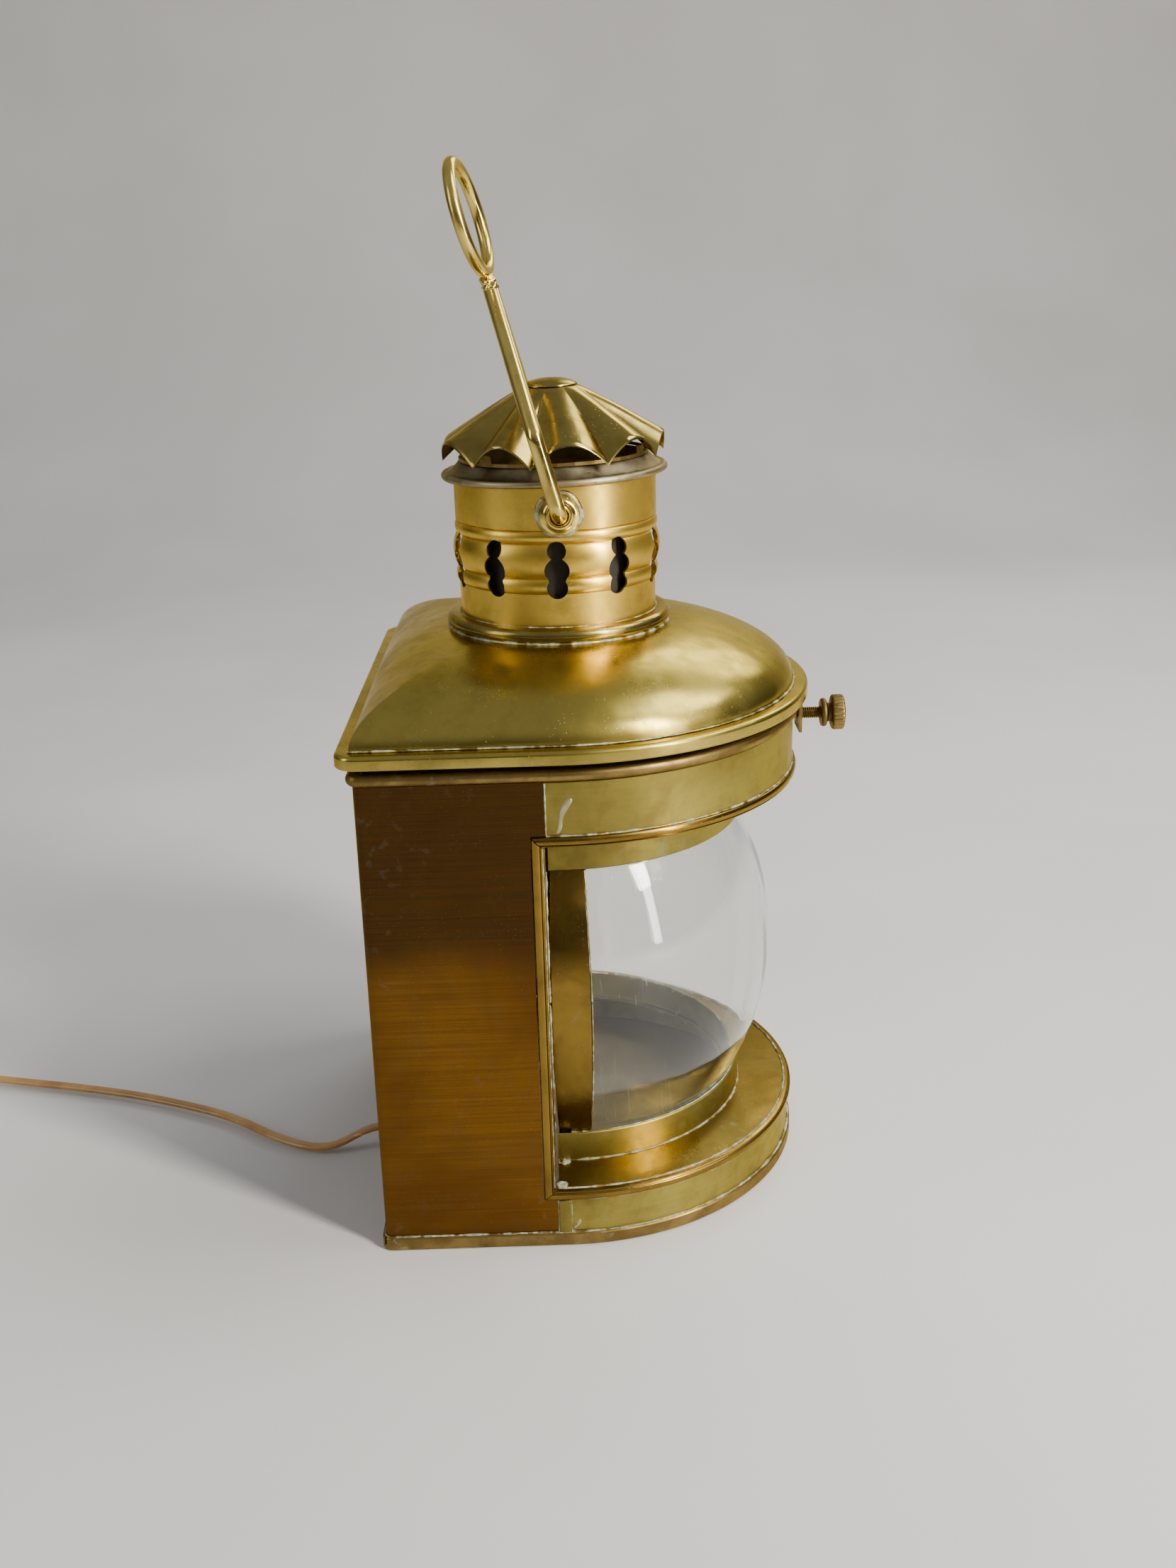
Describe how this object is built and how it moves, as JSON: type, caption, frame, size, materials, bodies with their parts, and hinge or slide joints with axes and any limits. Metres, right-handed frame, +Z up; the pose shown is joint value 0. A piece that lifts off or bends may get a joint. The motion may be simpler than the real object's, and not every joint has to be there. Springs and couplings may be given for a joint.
{
  "type": "ship lantern",
  "caption": "Brass ship lantern with D-shaped plan, barrel-curved front glass, hinged cushion roof, vented chimney, fluted cap, hinged bail with ring, front lock screw and mains flex.",
  "frame": {"origin": "underside of the base plate, on the centre of the curved front's half circle", "axes": "+Z up, -Y out of the curved glazed front, +Y out of the flat back, X across the width"},
  "size_m": [0.3068, 0.5842, 0.4723],
  "materials": {
    "brass_polished": "aged, polished long ago",
    "brass_satin": "satin, olive tarnish",
    "brass_dark": "dark aged",
    "brass_dull": "dull grey brown oxide",
    "clear_glass": "clear",
    "bulb_glass": "frosted",
    "black_plastic": "semi-gloss",
    "black_rubber": "matte",
    "flex_sheath": "translucent gold brown",
    "plug_pins": "nickel plated"
  },
  "bodies": {
    "case": {"base_plate": "brass_dark", "back_shell": "brass_polished", "lower_band": "brass_polished", "upper_band": "brass_polished", "strap_lower_left": "brass_satin", "strap_lower_right": "brass_satin", "side_bead_left": "brass_polished", "side_bead_right": "brass_polished", "lower_bead": "brass_polished", "upper_bead": "brass_polished", "reveal_left": "brass_satin", "reveal_right": "brass_satin", "cheek_left": "brass_polished", "cheek_right": "brass_polished", "sill_plate": "brass_satin", "header_plate": "brass_satin", "lower_seat": "brass_polished", "upper_seat": "brass_polished", "lens_glass": "clear_glass", "case_rim": "brass_polished", "lock_keeper": "brass_dark", "hinge_leaf_case": "brass_dark", "hinge_pin": "brass_dull", "lamp_foot": "black_plastic", "lamp_holder": "brass_dark", "lamp_bulb": "bulb_glass", "cord_grommet": "black_rubber", "cord_tube": "flex_sheath", "cord_coil": "flex_sheath", "cord_tie": "black_plastic", "plug_body": "black_plastic", "plug_pin_a": "plug_pins", "plug_pin_b": "plug_pins", "cord_tail": "flex_sheath"},
    "lid": {"hinge_leaf_lid": "brass_dark", "roof_flange": "brass_satin", "roof_dome": "brass_satin", "collar_base_ring": "brass_polished", "chimney_collar": "brass_polished", "eyelet_left": "brass_dark", "eyelet_right": "brass_dark", "rim_plate": "brass_dull", "fluted_cap": "brass_polished", "cap_button": "brass_dark", "lock_lug": "brass_dark", "cap_stay": "brass_dull"},
    "bail": {"bail_rod": "brass_polished", "bail_ring": "brass_polished"},
    "washer": {"screw_washer": "brass_dark"},
    "screw": {"thumb_screw": "brass_dark"}
  },
  "joints": [
    {"name": "lid_hinge", "type": "hinge", "parent": "case", "child": "lid", "pos_m": [0, 0.0901, 0.2305], "axis": [-1, 0, 0], "range_deg": [0, 100]},
    {"name": "bail_swing", "type": "hinge", "parent": "lid", "child": "bail", "pos_m": [0, -0.0018, 0.324], "axis": [0.9994, 0.0349, 0], "range_deg": [-76, 106]},
    {"name": "screw_travel", "type": "slide", "parent": "lid", "child": "washer", "axis": [0, 1, 0], "range_m": [0, 0.0081]},
    {"name": "screw_turn", "type": "hinge", "parent": "washer", "child": "screw", "pos_m": [0, -0.1265, 0.2175], "axis": [0, 1, 0], "range_deg": [0, 2880]}
  ],
  "couplings": [
    {"joint": "screw_travel", "follows": "screw_turn", "m_per_rad": 0.00015915}
  ]
}
